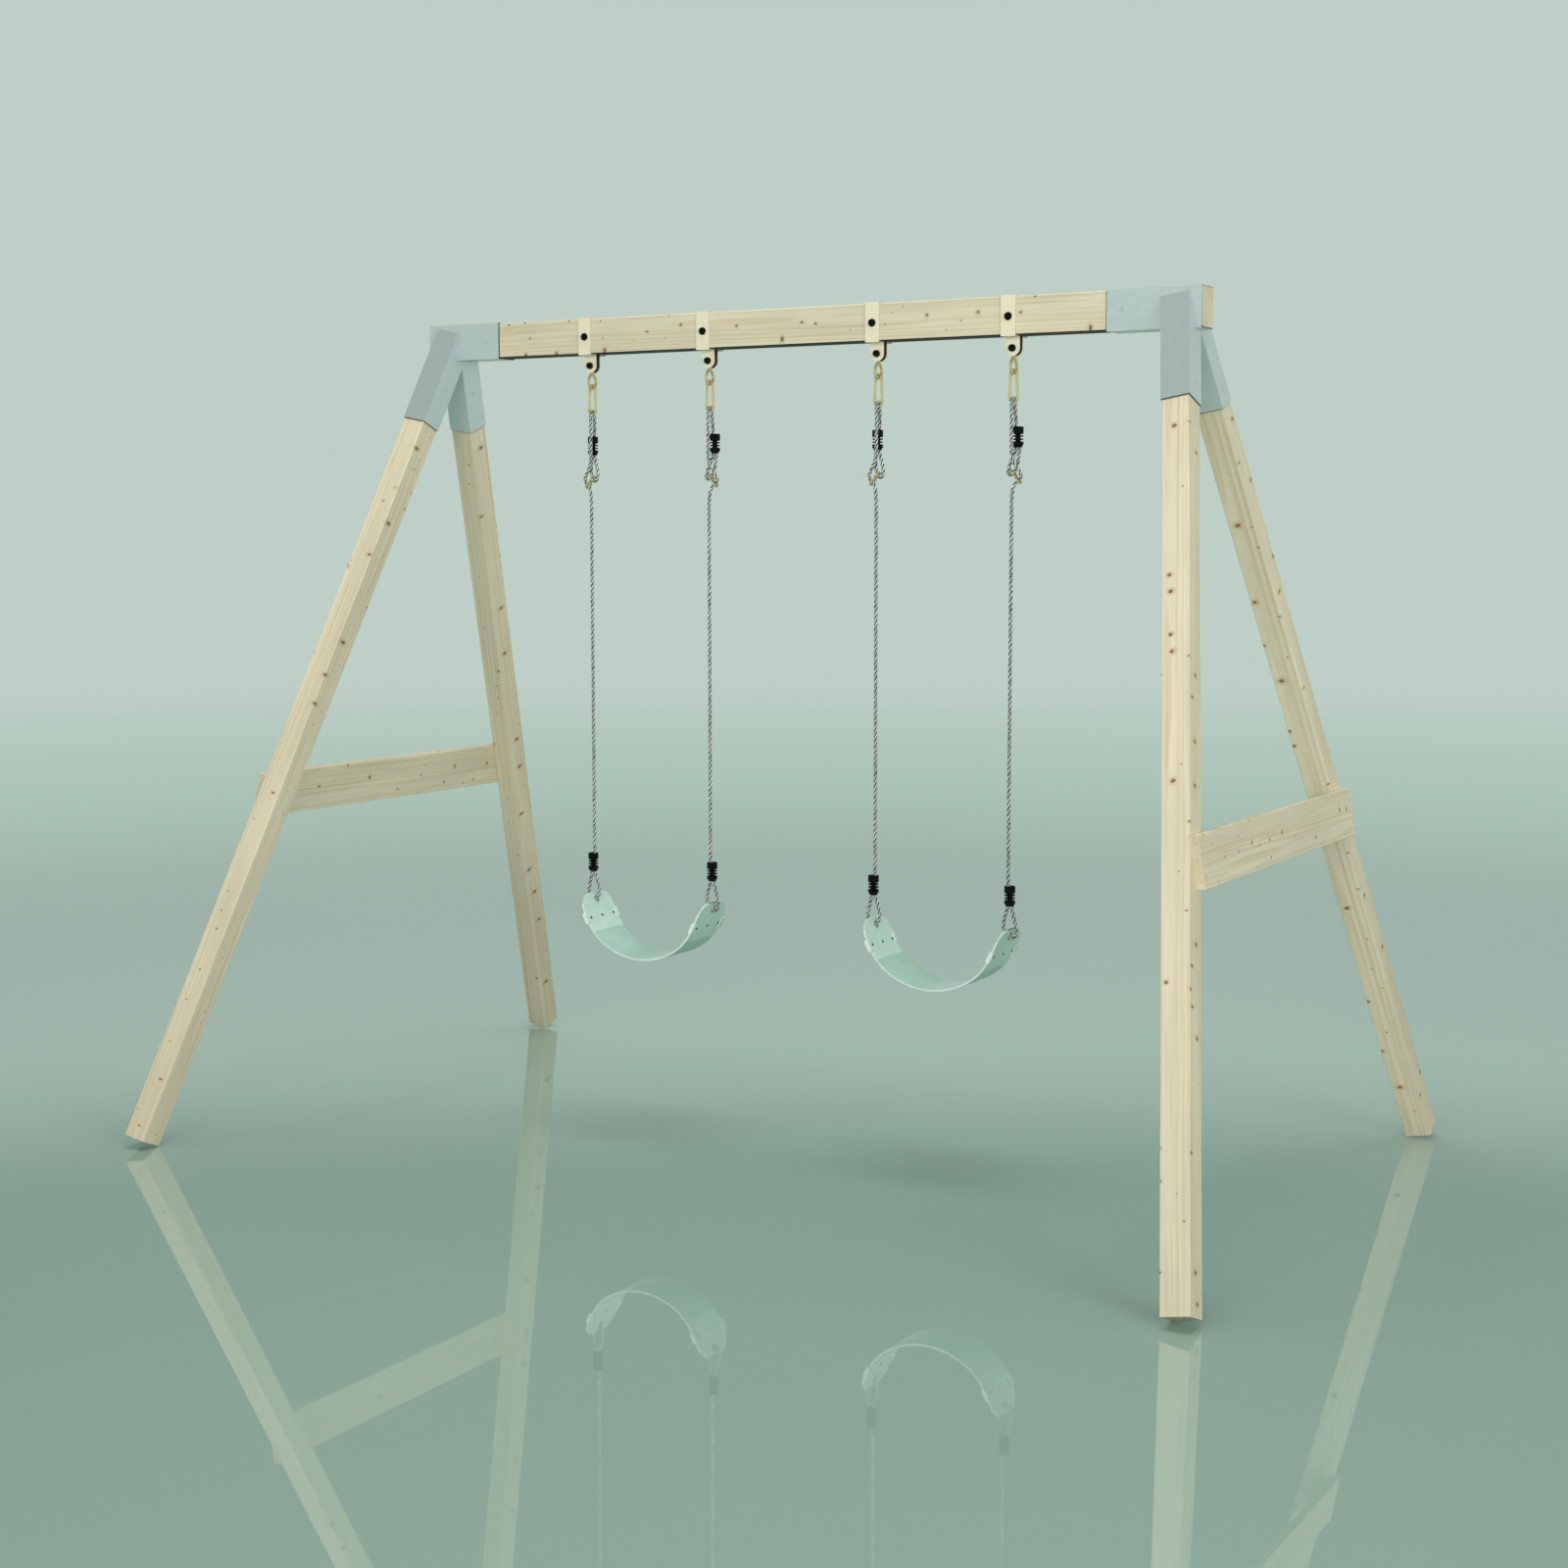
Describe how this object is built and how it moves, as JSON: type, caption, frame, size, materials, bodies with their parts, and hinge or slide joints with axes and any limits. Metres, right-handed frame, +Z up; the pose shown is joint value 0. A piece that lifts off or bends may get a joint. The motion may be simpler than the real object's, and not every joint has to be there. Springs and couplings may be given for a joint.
{
  "type": "swing set",
  "caption": "Free-standing wooden double swing: a beam on splayed A-frames with steel corner brackets, and rope-hung belt seats on carabiners",
  "frame": {"origin": "On the floor, under the middle of the beam", "axes": "+X runs along the beam, to the right seen from the front; +Y points to the back; +Z is up"},
  "size_m": [3.0914, 1.9516, 2.2826],
  "materials": {
    "timber": "planed softwood, clear oiled",
    "galvanised": "galvanised sheet",
    "zinc": "yellow zinc plate",
    "bolt_steel": "bright steel",
    "black_plastic": "moulded, glossy",
    "rope": "laid three-strand rope",
    "belt": "flexible belt, satin",
    "rivet": "dark lacquered"
  },
  "bodies": {
    "frame": {"beam": "timber", "corner_bracket_left": "galvanised", "corner_bracket_right": "galvanised", "leg_left_front": "timber", "leg_left_rear": "timber", "leg_right_front": "timber", "leg_right_rear": "timber", "brace_left": "timber", "brace_right": "timber", "bracket_screws": "galvanised", "brace_screws": "galvanised", "strap_front_1": "zinc", "strap_front_2": "zinc", "strap_front_3": "zinc", "strap_front_4": "zinc", "strap_rear_1": "zinc", "strap_rear_2": "zinc", "strap_rear_3": "zinc", "strap_rear_4": "zinc", "eye_1": "zinc", "eye_2": "zinc", "eye_3": "zinc", "eye_4": "zinc", "beam_bolts": "bolt_steel", "beam_bolt_caps": "black_plastic", "eye_bolts": "bolt_steel", "eye_bolt_caps": "black_plastic", "eye_bushes": "black_plastic"},
    "carabiners_left": {"carabiner_1": "zinc", "carabiner_2": "zinc", "gate_pins_left": "bolt_steel"},
    "carabiners_right": {"carabiner_3": "zinc", "carabiner_4": "zinc", "gate_pins_right": "bolt_steel"},
    "gate_1_body": {"gate_1": "zinc"},
    "gate_2_body": {"gate_2": "zinc"},
    "gate_3_body": {"gate_3": "zinc"},
    "gate_4_body": {"gate_4": "zinc"},
    "rope_1_set": {"rope_1": "rope", "rope_adjuster_1": "zinc", "upper_clamp_1": "black_plastic", "lower_clamp_1": "black_plastic"},
    "rope_2_set": {"rope_2": "rope", "rope_adjuster_2": "zinc", "upper_clamp_2": "black_plastic", "lower_clamp_2": "black_plastic"},
    "rope_3_set": {"rope_3": "rope", "rope_adjuster_3": "zinc", "upper_clamp_3": "black_plastic", "lower_clamp_3": "black_plastic"},
    "rope_4_set": {"rope_4": "rope", "rope_adjuster_4": "zinc", "upper_clamp_4": "black_plastic", "lower_clamp_4": "black_plastic"},
    "seat_left_set": {"seat_left": "belt", "seat_rivets_left": "rivet"},
    "seat_right_set": {"seat_right": "belt", "seat_rivets_right": "rivet"}
  },
  "joints": [
    {"name": "swing_left", "type": "hinge", "parent": "frame", "child": "carabiners_left", "pos_m": [-0.44, 0, 2.09705], "axis": [1, 0, 0], "range_deg": [-50, 50]},
    {"name": "gate_1_hinge", "type": "hinge", "parent": "carabiners_left", "child": "gate_1_body", "pos_m": [-0.64412, 0, 2.0808], "axis": [0, -1, 0], "range_deg": [0, 18], "stiffness_Nm_per_rad": 0.05, "springref_deg": -11.46},
    {"name": "gate_2_hinge", "type": "hinge", "parent": "carabiners_left", "child": "gate_2_body", "pos_m": [-0.25412, 0, 2.0808], "axis": [0, -1, 0], "range_deg": [0, 18], "stiffness_Nm_per_rad": 0.05, "springref_deg": -11.46},
    {"name": "sway_1", "type": "hinge", "parent": "carabiners_left", "child": "rope_1_set", "pos_m": [-0.635, 0, 2.01655], "axis": [0, 1, 0], "range_deg": [-6, 6]},
    {"name": "sway_2", "type": "hinge", "parent": "carabiners_left", "child": "rope_2_set", "pos_m": [-0.245, 0, 2.01655], "axis": [0, 1, 0], "range_deg": [-6, 6]},
    {"name": "seat_left_level", "type": "hinge", "parent": "rope_1_set", "child": "seat_left_set", "pos_m": [-0.635, 0, 0.63405], "axis": [0, 1, 0], "range_deg": [-6, 6]},
    {"name": "swing_right", "type": "hinge", "parent": "frame", "child": "carabiners_right", "pos_m": [0.472, 0, 2.09705], "axis": [1, 0, 0], "range_deg": [-50, 50]},
    {"name": "gate_3_hinge", "type": "hinge", "parent": "carabiners_right", "child": "gate_3_body", "pos_m": [0.26788, 0, 2.0808], "axis": [0, -1, 0], "range_deg": [0, 18], "stiffness_Nm_per_rad": 0.05, "springref_deg": -11.46},
    {"name": "gate_4_hinge", "type": "hinge", "parent": "carabiners_right", "child": "gate_4_body", "pos_m": [0.65788, 0, 2.0808], "axis": [0, -1, 0], "range_deg": [0, 18], "stiffness_Nm_per_rad": 0.05, "springref_deg": -11.46},
    {"name": "sway_3", "type": "hinge", "parent": "carabiners_right", "child": "rope_3_set", "pos_m": [0.277, 0, 2.01655], "axis": [0, 1, 0], "range_deg": [-6, 6]},
    {"name": "sway_4", "type": "hinge", "parent": "carabiners_right", "child": "rope_4_set", "pos_m": [0.667, 0, 2.01655], "axis": [0, 1, 0], "range_deg": [-6, 6]},
    {"name": "seat_right_level", "type": "hinge", "parent": "rope_3_set", "child": "seat_right_set", "pos_m": [0.277, 0, 0.63405], "axis": [0, 1, 0], "range_deg": [-6, 6]}
  ],
  "couplings": [
    {"joint": "sway_2", "follows": "sway_1", "ratio": 1},
    {"joint": "seat_left_level", "follows": "sway_1", "ratio": -1},
    {"joint": "sway_4", "follows": "sway_3", "ratio": 1},
    {"joint": "seat_right_level", "follows": "sway_3", "ratio": -1}
  ]
}
